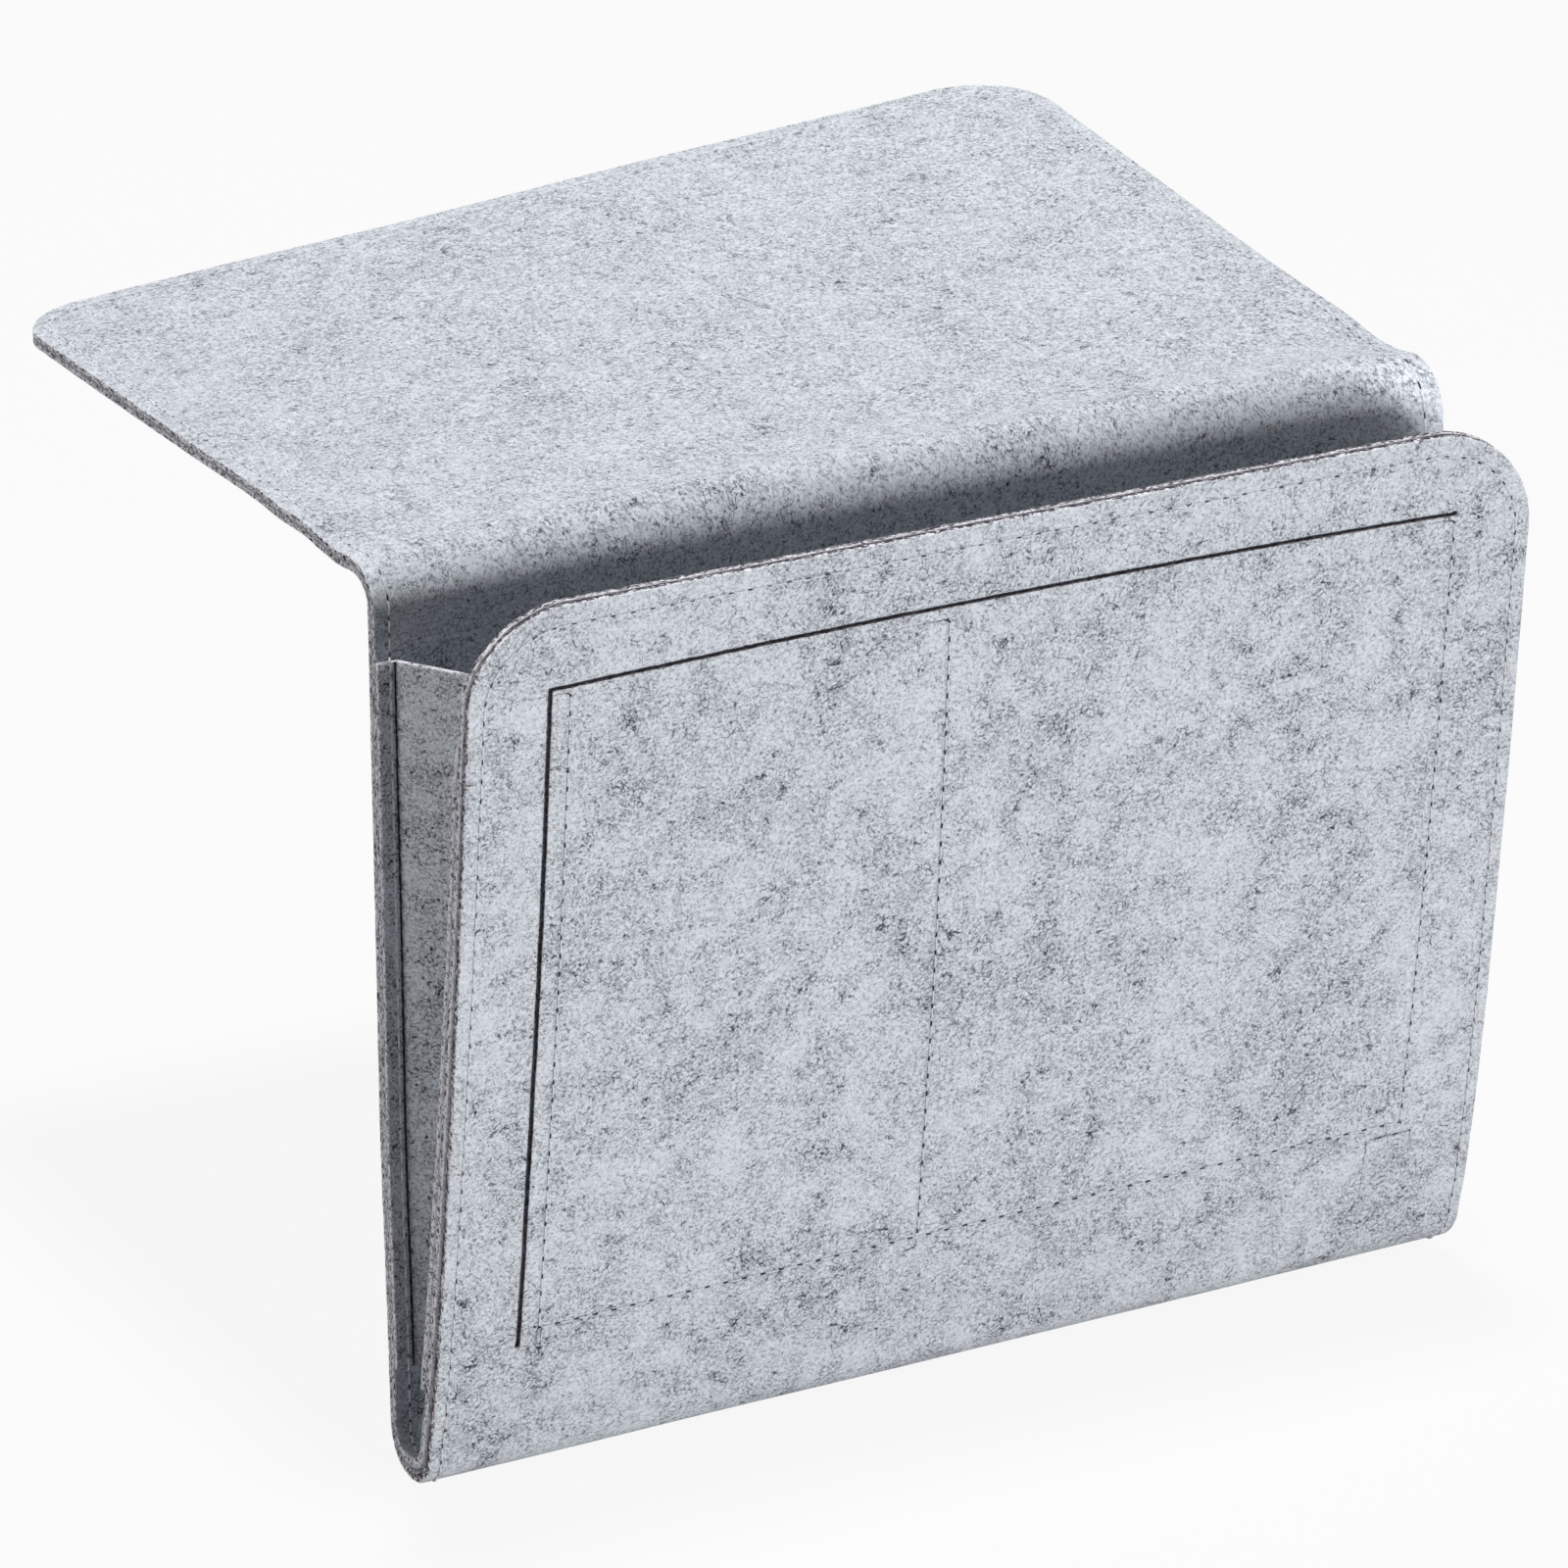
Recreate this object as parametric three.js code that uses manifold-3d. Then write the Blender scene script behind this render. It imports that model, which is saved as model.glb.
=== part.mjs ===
import * as THREE from 'three';
import { mergeVertices } from 'three/addons/utils/BufferGeometryUtils.js';
import Module from 'manifold-3d';

// Felt bedside caddy in millimetres: +X is its width, +Y points into the bed and +Z is up.
// The origin lies on the flap's underside, on the flat band where the bed's edge carries it.
// Two felt layers form one flat pattern that is folded into shape. On the pattern x runs across,
// s runs from the flap's back edge to the pocket's rim, and d goes through the felt, from the face
// of the outer layer (0) to the face of the inner layer.

// Felt and thread
const width = 320;
const feltThickness = 1.85;
const layerGap = 0.3;
const bendGap = 0.3;
const cornerRadius = 28;
const threadWidth = 0.8;
const threadHeight = 0.5;
const threadGap = 0.3;
const borderInset = 6;

// Flap: a flat band at the bed's edge, then a sheet whose free corners lift and droop by the twist
const flapLength = 192;
const flapBandLength = 20;
const flapTwist = 11.5;
const twistPower = 1.3;

// Bend at the bed's edge: a shallow valley, a rise to the shoulder and the turn down
const valleyLength = 12;
const valleyTurn = 7;
const riseLength = 24;
const riseTurn = -25;
const bendRadius = 9;

// Back panel, bottom fold and front panel, which leans forward and straightens towards its rim
const backLength = 240;
const foldRadius = 15;
const frontLength = 262.5;
const frontFootLean = 10.3;
const frontRimLean = 5.4;

// L-shaped slit in the outer front layer and the seams of the two pockets behind it
const slitWidth = 1.4;
const slitDrop = 24.3;
const slitInset = 23.3;
const slitOverrun = 5.5;
const pocketInset = 6;
const pocketFootHeight = 39;
const dividerOffset = -17;

// Side gussets: a strip with a flange on each panel and a web folded inwards
const gussetThickness = 1.6;
const gussetFlangeWidth = 5.5;
const gussetInset = 18;
const gussetRimDrop = 33.5;
const gussetBendDrop = 15.5;
const gussetFootHeight = 19;

// Facets
const cornerSteps = 6;
const feltColumns = 7;
const flapRows = 8;
const bendStep = 9;
const shoulderRows = 6;
const foldStep = 14;
const frontRows = 6;
const gussetRows = 6;
const apexSteps = 4;
const apexRatio = 0.7;

const innerNear = feltThickness + layerGap;
const innerFace = innerNear + feltThickness;
const degrees = Math.PI / 180;
const edge = width / 2;

// The folded profile is a chain of arcs. The heading h is 0 towards -Y and a quarter turn downwards.
function chainArcs(steps, y, z) {
  const arcs = [];
  let end = { s: 0, y, z, h: 0 };
  for (const { length, turn } of steps) {
    const arc = { ...end, length, bend: (turn * degrees) / length };
    arcs.push(arc);
    end = { s: arc.s + length, ...follow(arc, length) };
  }
  return arcs;
}

function follow(arc, run) {
  const h = arc.h + arc.bend * run;
  if (arc.bend === 0) {
    return { y: arc.y - run * Math.cos(h), z: arc.z - run * Math.sin(h), h };
  }
  const y = arc.y - (Math.sin(h) - Math.sin(arc.h)) / arc.bend;
  const z = arc.z + (Math.cos(h) - Math.cos(arc.h)) / arc.bend;
  return { y, z, h };
}

const crestTurn = 90 - valleyTurn - riseTurn;
const foldTurn = 180 - frontFootLean;
const profile = chainArcs(
  [
    { length: flapLength, turn: 0 },
    { length: valleyLength, turn: valleyTurn },
    { length: riseLength, turn: riseTurn },
    { length: bendRadius * crestTurn * degrees, turn: crestTurn },
    { length: backLength, turn: 0 },
    { length: foldRadius * foldTurn * degrees, turn: -foldTurn },
    { length: frontLength, turn: frontRimLean - frontFootLean },
  ],
  flapLength - flapBandLength / 2,
  0,
);
const [, valley, , crest, back, bottom, front] = profile;
const rim = front.s + frontLength;

// A point of the flat pattern in its folded place
function place(x, s, d) {
  const arc = profile.findLast((a) => s >= a.s) ?? profile[0];
  const { y, z, h } = follow(arc, s - arc.s);
  return new THREE.Vector3(x, y - d * Math.sin(h), z + d * Math.cos(h) + lift(x, s));
}

function lift(x, s) {
  const free = flapLength - flapBandLength;
  const share = Math.max(0, (free - s) / free);
  return ((flapTwist * x) / edge) * share ** twistPower;
}

// Half the pattern's width at s, with the round corners of the flap and of the rim
function halfWidth(s) {
  const inward = Math.max(0, cornerRadius - Math.min(s, rim - s));
  return edge - cornerRadius + Math.sqrt(Math.max(0, cornerRadius ** 2 - inward ** 2));
}

function evenly(from, to, count) {
  return Array.from({ length: count + 1 }, (_, i) => from + ((to - from) * i) / count);
}

// Distances from the end of a panel that follow its round corners
function cornerStations() {
  const angles = evenly(0, Math.PI / 2, cornerSteps);
  return angles.map((angle) => cornerRadius * (1 - Math.cos(angle)));
}

// A box whose vertices are moved to their places: column, row and side count its grid lines
function shapedBox(columns, rows, locate) {
  const geometry = new THREE.BoxGeometry(1, 1, 1, columns, rows, 1);
  const position = geometry.attributes.position;
  for (let i = 0; i < position.count; i++) {
    const column = Math.round((position.getX(i) + 0.5) * columns);
    const row = Math.round((position.getY(i) + 0.5) * rows);
    const side = Math.round(position.getZ(i) + 0.5);
    position.setXYZ(i, ...locate(column, row, side));
  }
  geometry.computeVertexNormals();
  return geometry;
}

// A piece of the pattern between two depths, given its rows from the rim's end to the flap's end
function feltSheet(stations, [near, far], left = (s) => -halfWidth(s), right = halfWidth) {
  return shapedBox(feltColumns, stations.length - 1, (column, row, side) => {
    const s = stations[row];
    const x = THREE.MathUtils.lerp(left(s), right(s), column / feltColumns);
    return place(x, s, side ? far : near);
  });
}

// A line of sewing thread that lies on one face of the pattern along a route of [x, s] points
function thread(route, onInnerFace) {
  const base = onInnerFace ? innerFace + threadGap : -threadGap - threadHeight;
  return shapedBox(1, route.length - 1, (column, row, side) => {
    const before = route[Math.max(row - 1, 0)];
    const after = route[Math.min(row + 1, route.length - 1)];
    const run = new THREE.Vector2(after[0] - before[0], after[1] - before[1]).normalize();
    const across = (column - 0.5) * threadWidth;
    const [x, s] = route[row];
    return place(x - run.y * across, s + run.x * across, base + side * threadHeight);
  });
}

// The border seam round an end of the pattern: up one side, round both corners and down the other
function endRoute(legs, end, inwards) {
  const radius = cornerRadius - borderInset;
  const across = edge - cornerRadius;
  const corner = evenly(0, Math.PI / 2, cornerSteps).map((angle) => [
    across + radius * Math.cos(angle),
    end + inwards * (cornerRadius - radius * Math.sin(angle)),
  ]);
  const rightSide = [...legs.map((s) => [edge - borderInset, s]), ...corner];
  const leftSide = rightSide.map(([x, s]) => [-x, s]).reverse();
  return [...rightSide, ...leftSide];
}

const { Manifold, Mesh: ManifoldMesh } = await loadManifold();

async function loadManifold() {
  const wasm = await Module();
  wasm.setup();
  return wasm;
}

function toManifold(geometry) {
  const bare = new THREE.BufferGeometry();
  bare.setAttribute('position', geometry.attributes.position);
  bare.setIndex(geometry.index);
  const merged = mergeVertices(bare, 1e-4);
  const vertProperties = Float32Array.from(merged.attributes.position.array);
  const triVerts = Uint32Array.from(merged.index.array);
  return new Manifold(new ManifoldMesh({ numProp: 3, vertProperties, triVerts }));
}

function subtract(geometry, cutters) {
  const cut = cutters.reduce((solid, cutter) => solid.subtract(toManifold(cutter)), toManifold(geometry));
  const { vertProperties, triVerts } = cut.getMesh();
  const result = new THREE.BufferGeometry();
  result.setAttribute('position', new THREE.BufferAttribute(vertProperties, 3));
  result.setIndex(new THREE.BufferAttribute(triVerts, 1));
  const faceted = result.toNonIndexed();
  faceted.computeVertexNormals();
  return faceted;
}

const outerLayer = [0, feltThickness];
const innerLayer = [innerNear, innerFace];

const feltMaterial = new THREE.MeshStandardMaterial({ color: 0xb4bac4, roughness: 0.95, metalness: 0 });
const gussetMaterial = new THREE.MeshStandardMaterial({ color: 0x9aa0aa, roughness: 0.95, metalness: 0 });
const threadMaterial = new THREE.MeshStandardMaterial({ color: 0xc9cdd4, roughness: 0.6, metalness: 0 });

const caddy = new THREE.Group();

function add(name, geometry, material) {
  const mesh = new THREE.Mesh(geometry, material);
  mesh.name = name;
  caddy.add(mesh);
}

// Flap under the mattress
const flapStations = [
  flapLength - bendGap / 2,
  ...evenly(flapLength - flapBandLength, cornerRadius, flapRows),
  ...cornerStations().reverse().slice(1),
];
add('flap_upper_layer', feltSheet(flapStations, innerLayer), feltMaterial);
add('flap_lower_layer', feltSheet(flapStations, outerLayer), feltMaterial);
const flapLegs = flapStations.filter((s) => s > cornerRadius);
add('flap_seam', thread(endRoute(flapLegs, 0, 1), true), threadMaterial);

// Bend at the bed's edge
const crestSteps = Math.round(crestTurn / bendStep);
const bendStations = [
  ...evenly(back.s - bendGap / 2, crest.s, crestSteps),
  ...evenly(crest.s, valley.s + bendGap / 2, shoulderRows).slice(1),
];
add('bend_upper_layer', feltSheet(bendStations, innerLayer), feltMaterial);
add('bend_lower_layer', feltSheet(bendStations, outerLayer), feltMaterial);

// Back panel beside the bed
const backStations = [bottom.s - bendGap / 2, back.s + bendGap / 2];
add('back_inner_layer', feltSheet(backStations, innerLayer), feltMaterial);
add('back_rear_layer', feltSheet(backStations, outerLayer), feltMaterial);

// Bottom fold
const foldSteps = Math.round(foldTurn / foldStep);
const foldStations = evenly(front.s - bendGap / 2, bottom.s + bendGap / 2, foldSteps);
add('fold_inner_layer', feltSheet(foldStations, innerLayer), feltMaterial);
add('fold_outer_layer', feltSheet(foldStations, outerLayer), feltMaterial);

// Border seams on both sides of the bend, the back panel and the bottom fold
for (const [name, x] of [['left', borderInset - edge], ['right', edge - borderInset]]) {
  const route = (stations) => stations.map((s) => [x, s]);
  add(`bend_seam_${name}`, thread(route(bendStations), true), threadMaterial);
  add(`back_seam_${name}`, thread(route(backStations), false), threadMaterial);
  add(`fold_seam_${name}`, thread(route(foldStations), false), threadMaterial);
}

// Front panel: the backing layer, and the outer layer with its L-shaped slit
const frontStations = [
  ...cornerStations().map((e) => rim - e),
  ...evenly(rim - cornerRadius, front.s + bendGap / 2, frontRows).slice(1),
];
add('front_backing_layer', feltSheet(frontStations, innerLayer), feltMaterial);
const slitLine = rim - slitDrop;
const pocketBase = front.s + pocketFootHeight;
const slitLeft = slitInset - edge;
const slitRight = edge - slitInset;
const slitDepths = [-feltThickness, feltThickness + layerGap / 2];
const topSlit = feltSheet(
  [slitLine + slitWidth / 2, slitLine - slitWidth / 2],
  slitDepths,
  () => slitLeft - slitWidth / 2,
  () => slitRight,
);
const sideSlit = feltSheet(
  evenly(slitLine, pocketBase - slitOverrun, frontRows),
  slitDepths,
  () => slitLeft - slitWidth / 2,
  () => slitLeft + slitWidth / 2,
);
const frontSheet = feltSheet(frontStations, outerLayer);
add('front_outer_layer', subtract(frontSheet, [topSlit, sideSlit]), feltMaterial);
const frontLegs = frontStations.filter((s) => s < rim - cornerRadius).reverse();
add('front_seam', thread(endRoute(frontLegs, rim, -1), false), threadMaterial);

// Seams of the slit pockets: two sides, the base and the divider
const pocketTop = slitLine - slitWidth / 2 - threadWidth;
const pocketLeft = slitLeft + pocketInset;
const pocketRight = slitRight - threadWidth;
const upright = (x, foot) => evenly(pocketTop, foot, frontRows).map((s) => [x, s]);
const clearOfBase = pocketBase + threadWidth;
add('pocket_seam_left', thread(upright(pocketLeft, clearOfBase), false), threadMaterial);
add('pocket_seam_right', thread(upright(pocketRight, clearOfBase), false), threadMaterial);
add('pocket_divider_seam', thread(upright(dividerOffset, clearOfBase), false), threadMaterial);
const baseRoute = evenly(pocketLeft, pocketRight, feltColumns).map((x) => [x, pocketBase]);
add('pocket_seam_bottom', thread(baseRoute, false), threadMaterial);

// Side gussets: the section runs from the flange on the back panel, in to the fold of the web and
// out to the flange on the front panel
const flangeDepth = innerFace + layerGap + gussetThickness / 2;

// The gussets end below the round corners of the rim and below the bend, whichever is lower
const frontRise = Math.cos(((frontFootLean + frontRimLean) / 2) * degrees);
const belowBend = front.s + (back.z - gussetBendDrop - front.z) / frontRise;
const gussetTop = Math.min(rim - gussetRimDrop, belowBend);
const gussetStations = evenly(front.s + gussetFootHeight, gussetTop, gussetRows);

function gussetEnds(s) {
  const onFront = place(0, s, flangeDepth);
  return { frontY: onFront.y, backY: back.y - flangeDepth, z: onFront.z };
}

const mouth = gussetEnds(gussetTop);
const webLength = Math.hypot((mouth.backY - mouth.frontY) / 2, gussetInset);

function gussetSection(s) {
  const { frontY, backY } = gussetEnds(s);
  const halfGap = (backY - frontY) / 2;
  const turn = edge - gussetFlangeWidth;
  const apex = new THREE.Vector2(turn - Math.sqrt(webLength ** 2 - halfGap ** 2), frontY + halfGap);
  const backLeg = new THREE.Vector2(turn, backY);
  const frontLeg = new THREE.Vector2(turn, frontY);
  const web = new THREE.QuadraticBezierCurve(
    backLeg.clone().lerp(apex, apexRatio),
    apex,
    frontLeg.clone().lerp(apex, apexRatio),
  );
  const flanges = [new THREE.Vector2(edge, backY), new THREE.Vector2(edge, frontY)];
  return [flanges[0], backLeg, ...web.getPoints(apexSteps), frontLeg, flanges[1]];
}

// Unit direction across the section at one of its points, stretched so that the strip keeps its thickness
function across(section, k) {
  const here = section[k];
  const into = here.clone().sub(section[Math.max(k - 1, 0)]).normalize();
  const outOf = section[Math.min(k + 1, section.length - 1)].clone().sub(here).normalize();
  const first = k === 0 ? outOf : into;
  const last = k === section.length - 1 ? into : outOf;
  const run = first.clone().add(last).normalize();
  return new THREE.Vector2(-run.y, run.x).divideScalar(run.dot(first));
}

function gusset(sign) {
  const sections = gussetStations.map(gussetSection);
  const columns = sections[0].length - 1;
  return shapedBox(columns, gussetRows, (column, row, side) => {
    const k = sign > 0 ? columns - column : column;
    const middle = sections[row][k];
    const half = (side - 0.5) * gussetThickness;
    const point = middle.clone().addScaledVector(across(sections[row], k), half);
    return [sign * point.x, point.y, gussetEnds(gussetStations[row]).z];
  });
}

add('gusset_left', gusset(-1), gussetMaterial);
add('gusset_right', gusset(1), gussetMaterial);

export default caddy;
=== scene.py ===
import math
from functools import partial

import bmesh
import bpy
from mathutils import Matrix, Vector, kdtree, noise


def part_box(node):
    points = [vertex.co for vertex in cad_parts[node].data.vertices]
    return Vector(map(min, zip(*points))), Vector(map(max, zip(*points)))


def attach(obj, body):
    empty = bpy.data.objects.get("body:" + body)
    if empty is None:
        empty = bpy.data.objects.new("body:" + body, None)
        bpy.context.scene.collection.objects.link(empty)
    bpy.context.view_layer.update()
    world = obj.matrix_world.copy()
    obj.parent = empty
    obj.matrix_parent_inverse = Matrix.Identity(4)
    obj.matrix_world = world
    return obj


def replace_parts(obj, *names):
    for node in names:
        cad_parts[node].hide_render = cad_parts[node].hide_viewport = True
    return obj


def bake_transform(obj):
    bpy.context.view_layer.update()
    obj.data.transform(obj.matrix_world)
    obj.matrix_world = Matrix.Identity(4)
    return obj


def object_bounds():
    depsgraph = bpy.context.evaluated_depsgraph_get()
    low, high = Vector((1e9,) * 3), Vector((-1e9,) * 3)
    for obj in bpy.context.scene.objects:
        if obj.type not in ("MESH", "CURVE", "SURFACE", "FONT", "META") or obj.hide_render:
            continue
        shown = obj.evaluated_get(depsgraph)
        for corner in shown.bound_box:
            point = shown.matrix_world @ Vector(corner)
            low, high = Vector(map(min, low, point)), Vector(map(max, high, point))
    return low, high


# Felt bedside caddy in metres: +X across, +Y into the bed, +Z up, with the origin under the flap
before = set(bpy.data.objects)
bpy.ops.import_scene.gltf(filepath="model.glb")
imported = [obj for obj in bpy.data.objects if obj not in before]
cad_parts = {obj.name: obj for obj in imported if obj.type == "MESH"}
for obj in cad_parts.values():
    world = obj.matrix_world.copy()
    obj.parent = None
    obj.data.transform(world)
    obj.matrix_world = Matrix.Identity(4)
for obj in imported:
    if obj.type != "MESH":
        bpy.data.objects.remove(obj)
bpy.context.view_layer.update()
scene = bpy.context.scene
scene.view_settings.view_transform = "Standard"
mm = 0.001
print("frame loaded:", len(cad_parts), "nodes")

# The flat pattern that both felt layers share: x runs across, s from the flap's back edge to the
# pocket's rim, and d through the felt, from the outer layer's face (0) to the inner layer's face
pattern = {
    "edge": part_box("back_rear_layer")[1].x,
    "start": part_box("flap_lower_layer")[1].y,
    "flapCorners": (21 * mm, 28 * mm),  # left and right
    "rimCorners": (28 * mm, 33 * mm),
    "corner": 33 * mm,  # the largest
    "felt": 1.85 * mm,
    "gap": 0.3 * mm,
    "flap": 192 * mm,
    "valley": (12 * mm, 7),  # length and turn in degrees
    "rise": (24 * mm, -25),
    "bendRadius": 9 * mm,
    "back": 240 * mm,
    "foldRadius": 15 * mm,
    "front": 262.5 * mm,
    "footLean": 10.3,
    "rimLean": 5.4,
}
edge = pattern["edge"]
innerNear = pattern["felt"] + pattern["gap"]
innerFace = innerNear + pattern["felt"]


def follow(arc, run):
    # y, z and heading after a run along one arc of the folded profile
    h = arc["h"] + arc["bend"] * run
    if arc["bend"] == 0:
        return arc["y"] - run * math.cos(h), arc["z"] - run * math.sin(h), h
    y = arc["y"] - (math.sin(h) - math.sin(arc["h"])) / arc["bend"]
    z = arc["z"] + (math.cos(h) - math.cos(arc["h"])) / arc["bend"]
    return y, z, h


def chainArcs(steps):
    arcs = []
    s, y, z, h = 0.0, pattern["start"], 0.0, 0.0
    for length, turn in steps:
        arcs.append({"s": s, "y": y, "z": z, "h": h, "bend": math.radians(turn) / length})
        y, z, h = follow(arcs[-1], length)
        s += length
    return arcs, s


crestTurn = 90 - pattern["valley"][1] - pattern["rise"][1]
foldTurn = 180 - pattern["footLean"]
profile, rim = chainArcs([
    (pattern["flap"], 0),
    pattern["valley"],
    pattern["rise"],
    (pattern["bendRadius"] * math.radians(crestTurn), crestTurn),
    (pattern["back"], 0),
    (pattern["foldRadius"] * math.radians(foldTurn), -foldTurn),
    (pattern["front"], pattern["rimLean"] - pattern["footLean"]),
])
valleyStart, crestStart, backStart, foldStart, frontStart = (
    profile[i]["s"] for i in (1, 3, 4, 5, 6))
backMiddle = (backStart + foldStart) / 2
backArc, frontArc = profile[4], profile[6]


# How this one hangs: the flap's free corners lift and droop, the shoulder's right end stands out
# and the pocket's right side is drawn up a little
hang = {
    "twist": 11.5 * mm,
    "middleLift": 2.7 * mm,
    "shoulderOut": 12.5 * mm,
    "shoulderFrom": 150 * mm,
    "shoulderTo": backStart + 17 * mm,
    "shoulderReach": 105 * mm,
    "shoulderEnd": 0.7,  # share of the half width from which the end curls out
    "crestLift": (-4.4 * mm, 1.4 * mm),  # at the shoulder's left and right end
    "crestFrom": 160 * mm,
    "crestReach": 30 * mm,
    "valleyLift": 2.7 * mm,  # the valley behind the shoulder fades out to the left
    "valleyFrom": 180 * mm,
    "valleyPeak": 210 * mm,
    "valleyTo": 236 * mm,
    "footRise": 2 * mm,
    "footTilt": 2.3 * mm,
    "footDrift": 2.7 * mm,
    "foldRise": 2.2 * mm,
    "foldRiseFrom": 205 * mm,  # below the flap
    "foldRiseReach": 45 * mm,
    "footSqueeze": 0.08,  # how much thinner the pocket is at its foot
    "squeezeFrom": 150 * mm,
    "squeezeReach": 90 * mm,
    "foldCorner": 0.9 * mm,  # the fold turns tightest below the front
    "foldCornerAt": 0.72,  # share of the fold's turn, as the next one
    "foldCornerReach": 0.3,
    "footCurl": 1.0 * mm,  # the front's foot bends towards the back
    "footCurlReach": 14 * mm,
    "foldShift": 3 * mm,  # the fold's underside is drawn to the left and up
    "foldShiftTilt": 0.35,  # how fast that eases off from right to left
    "foldLift": 2.0 * mm,
    "flapWidening": 1.6 * mm,  # at the flap's left edge
    "wideningRamp": 1.7,
    "ripple": 0.45 * mm,  # unevenness of the felt
    "rippleScale": 13,
    "swell": 0.75,  # how much thicker the cut edges are at the foot of the front
    "swellReach": 7 * mm,
    "swellFade": 0.6,  # how much less that is at the rim
    "parting": 0.9 * mm,  # how far the two layers gape there
}


def ease(t):
    t = min(max(t, 0.0), 1.0)
    return t * t * (3 - 2 * t)


def spread(x, s, d):
    # the layers swell and part outside the border seam, most of all low on the front
    rise = ease((s - foldStart) / (frontStart - foldStart))
    height = max(0.0, (s - frontStart) / (rim - frontStart))
    amount = rise * (1 - hang["swellFade"] * height)
    amount *= ease(1 - (edge - abs(x)) / hang["swellReach"])
    parting = hang["parting"] if d > pattern["felt"] + pattern["gap"] / 2 else 0.0
    return d + (d * hang["swell"] + parting) * amount


def foldFelt(flat):
    # a point of the flat pattern in its folded place
    x, s, d = flat
    arc = next((a for a in reversed(profile) if s >= a["s"]), profile[0])
    y, z, h = follow(arc, s - arc["s"])
    d = spread(x, s, d) + hang["ripple"] * noise.noise(Vector((x, s, 0)) * hang["rippleScale"])
    turned = (s - foldStart) / (frontStart - foldStart)
    d -= hang["foldCorner"] * ease(1 - abs(turned - hang["foldCornerAt"]) / hang["foldCornerReach"])
    point = Vector((x, y - d * math.sin(h), z + d * math.cos(h)))
    curl = ease(turned) if turned < 1 else ease(1 - (s - frontStart) / hang["footCurlReach"])
    point.y += hang["footCurl"] * curl
    side = x / edge
    underside = ease(1 - abs(2 * turned - 1))
    point.x -= hang["foldShift"] * (1 + hang["foldShiftTilt"] * (side - 1)) * underside
    point.z += hang["foldLift"] * underside
    flapShare = max(0.0, 1 - s / crestStart)
    point.z += (hang["middleLift"] + hang["twist"] * side) * flapShare
    point.x += hang["flapWidening"] * min(0.0, side) * ease(hang["wideningRamp"] * flapShare)
    if s < foldStart:
        rise = ease((s - hang["shoulderFrom"]) / (hang["shoulderTo"] - hang["shoulderFrom"]))
        fade = ease(1 - (s - backStart) / hang["shoulderReach"])
        flare = max(0.0, (side - hang["shoulderEnd"]) / (1 - hang["shoulderEnd"])) ** 3
        point.y -= hang["shoulderOut"] * flare * rise * fade
        crest = ease((s - hang["crestFrom"]) / (crestStart - hang["crestFrom"]))
        crest *= ease(1 - (s - crestStart) / hang["crestReach"])
        point.z += hang["crestLift"][side > 0] * side * side * crest
        valley = ease((s - hang["valleyFrom"]) / (hang["valleyPeak"] - hang["valleyFrom"]))
        valley *= ease((hang["valleyTo"] - s) / (hang["valleyTo"] - hang["valleyPeak"]))
        point.z += hang["valleyLift"] * ((1 - side) / 2) ** 2 * valley
    below = ease(-point.z / pattern["back"])
    foot = ease((-point.z - hang["foldRiseFrom"]) / hang["foldRiseReach"])
    squeeze = hang["footSqueeze"] * ease((-point.z - hang["squeezeFrom"]) / hang["squeezeReach"])
    point.y -= squeeze * max(0.0, point.y - frontArc["y"])
    point.z += below * (hang["footRise"] + hang["footTilt"] * side) + foot * hang["foldRise"]
    point.x += below * hang["footDrift"] * max(0.0, side)
    return point


def cornerRadius(x, s):
    return pattern["flapCorners" if s < rim / 2 else "rimCorners"][x > 0]


def roundCorner(x, s):
    # moves a point of the square pattern into the pattern with round corners
    r = cornerRadius(x, s)
    a = (abs(x) - (edge - r)) / r
    b = (r - s) / r if s < rim / 2 else (s - (rim - r)) / r
    if a <= 0 or b <= 0:
        return x, s
    x = math.copysign(edge - r + r * a * math.sqrt(1 - b * b / 2), x)
    b *= math.sqrt(1 - a * a / 2)
    return x, r - r * b if s < rim / 2 else rim - r + r * b


# L-shaped slit in the outer front layer, and the two pockets behind it
slit = {
    "width": 1.3 * mm,
    "line": rim - 24.3 * mm,
    "left": 23.3 * mm - edge,
    "right": edge - 23.3 * mm,
    "bow": 2.0 * mm,  # the top edge rises by this in its middle
    "bowReach": 17 * mm,
    "overrun": 5.5 * mm,
    "wallReach": (3 * mm, 9 * mm, 6 * mm),  # beside, below and above, within which cuts are its own
}
pocket = {
    "left": slit["left"] + 6 * mm,
    "right": slit["right"] - 0.8 * mm,
    "top": slit["line"] - 2.5 * mm,
    "base": frontStart + 39 * mm,
    "dividerTop": -19 * mm,
    "dividerFoot": -15 * mm,
    "dividerOverrun": 4 * mm,
    "markDrop": 4 * mm,  # a short needle mark without thread, below and beside the right seam, shown by the bump and by painted shade
    "markReach": (-11 * mm, 4 * mm),
}
slitHalf = slit["width"] / 2


def slitBow(x, s):
    near = max(0.0, 1 - abs(s - slit["line"]) / slit["bowReach"])
    across = max(0.0, 1 - (x / slit["right"]) ** 2)
    return slit["bow"] * across * near * near * (3 - 2 * near)


def inSlit(point):
    x, s, _ = point
    onTop = abs(s - slit["line"]) < slitHalf and slit["left"] - slitHalf < x < slit["right"]
    foot = pocket["base"] - slit["overrun"]
    onSide = abs(x - slit["left"]) < slitHalf and foot < s < slit["line"] + slitHalf
    return onTop or onSide


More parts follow.
